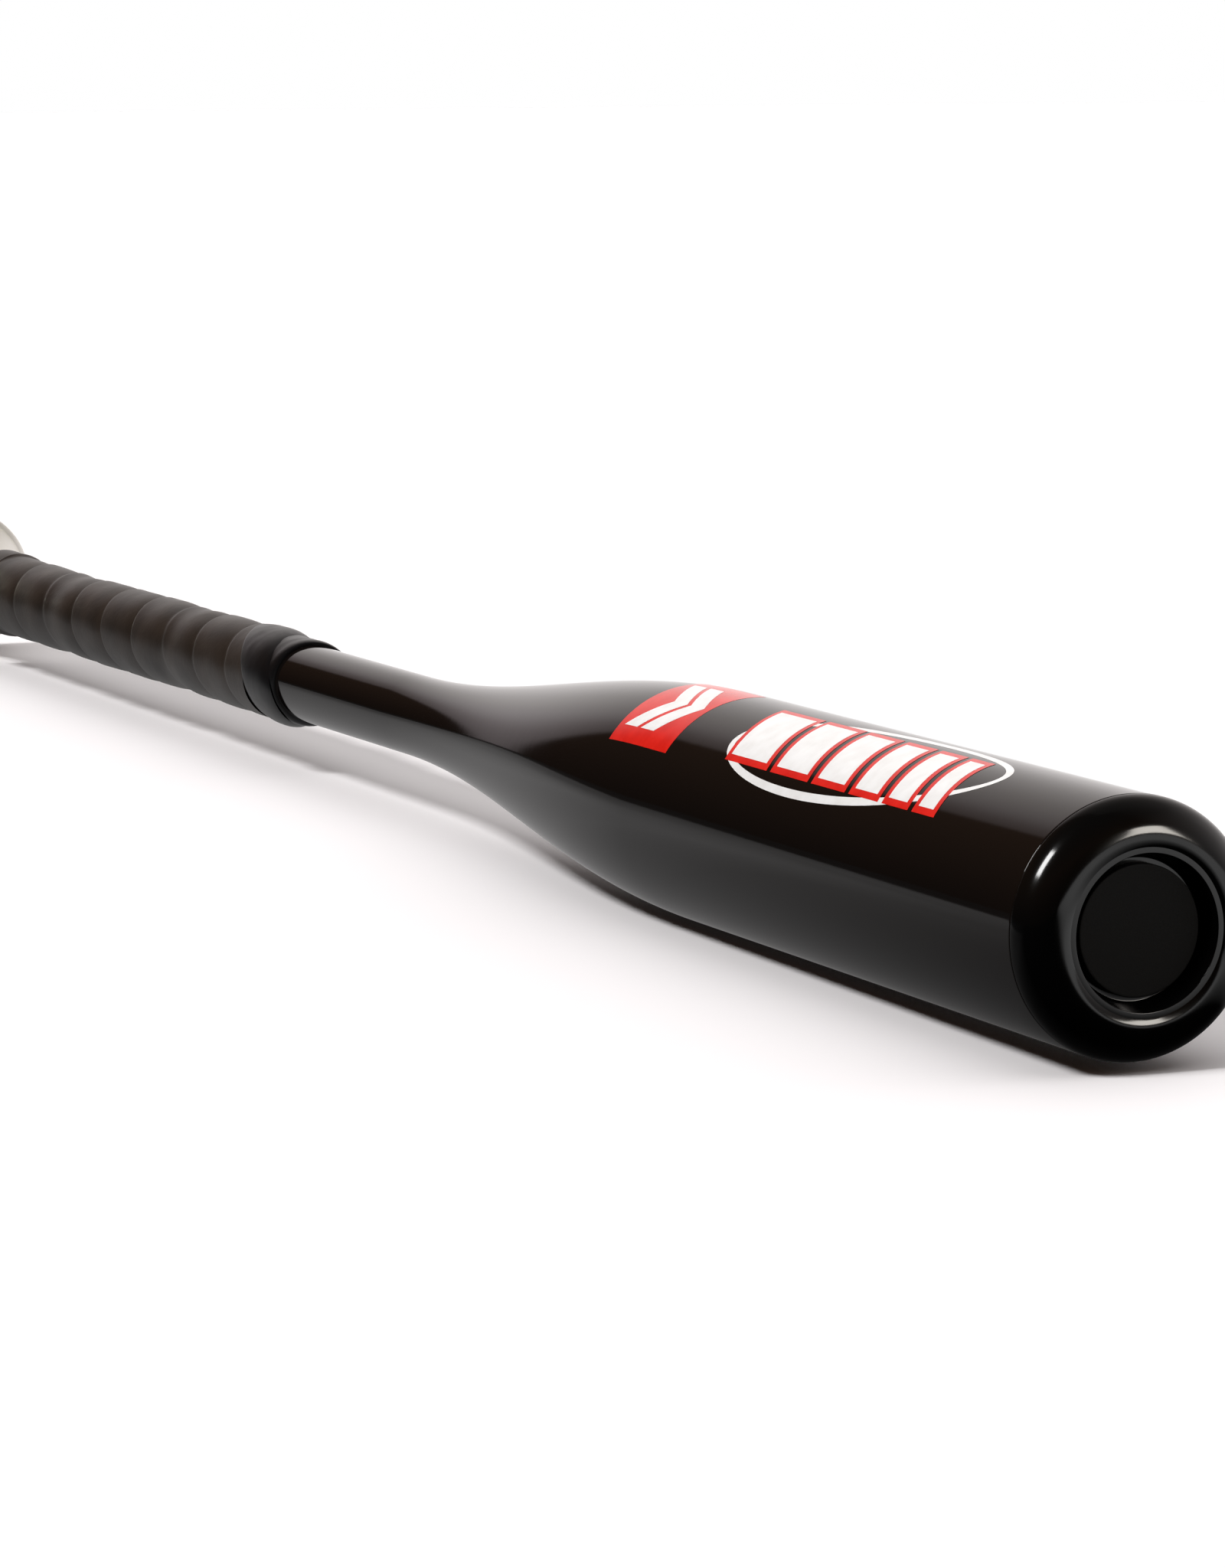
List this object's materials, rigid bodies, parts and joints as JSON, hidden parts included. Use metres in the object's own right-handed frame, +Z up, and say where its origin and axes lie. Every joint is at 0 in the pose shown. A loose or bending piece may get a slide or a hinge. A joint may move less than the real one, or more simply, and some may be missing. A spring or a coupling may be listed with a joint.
{
  "type": "alloy bat",
  "caption": "Round one-piece metal hitting bat with a flared knob, spiral-taped handle, long taper, parallel barrel and a recessed end cap.",
  "frame": {"origin": "centre of the knob's flat end face, on the bat's axis", "axes": "+X along the bat's axis from the knob to the barrel and its end cap; +Z up as the bat lies; the graphics are on the top and -Y side"},
  "size_m": [0.8382, 0.0572, 0.0572],
  "materials": {
    "black_lacquer_aluminium": "gloss black lacquer over aluminium",
    "satin_aluminium": "satin",
    "weld_aluminium": "matte",
    "foam_rubber": "matte",
    "underlay_tape": "matte",
    "grip_tape": "satin",
    "finishing_tape_tail": "satin",
    "finishing_tape_ridge": "satin",
    "gloss_black_moulding": "gloss",
    "matt_disc": "matte",
    "adhesive": "satin",
    "cast_urethane": "satin",
    "damper_foam": "open-cell foam",
    "red_transfer": "gloss",
    "white_emblem": "gloss",
    "white_oval": "gloss",
    "red_backing": "gloss",
    "white_faces": "gloss"
  },
  "bodies": {
    "root": {"bat_shell": "black_lacquer_aluminium", "knob": "satin_aluminium", "knob_weld_bead": "weld_aluminium", "handle_plug": "foam_rubber", "grip_base_tape": "underlay_tape", "grip_wrap": "grip_tape", "finishing_tape_tail": "finishing_tape_tail", "finishing_tape_ridge": "finishing_tape_ridge", "end_cap": "gloss_black_moulding", "cap_centre_disc": "matt_disc", "cap_adhesive_ring": "adhesive", "cap_balance_weight": "cast_urethane", "barrel_foam_damper": "damper_foam", "shoulder_panel": "red_transfer", "shoulder_emblem": "white_emblem", "oval_ring": "white_oval", "bar_backing": "red_backing", "bar_faces": "white_faces"}
  },
  "joints": []
}
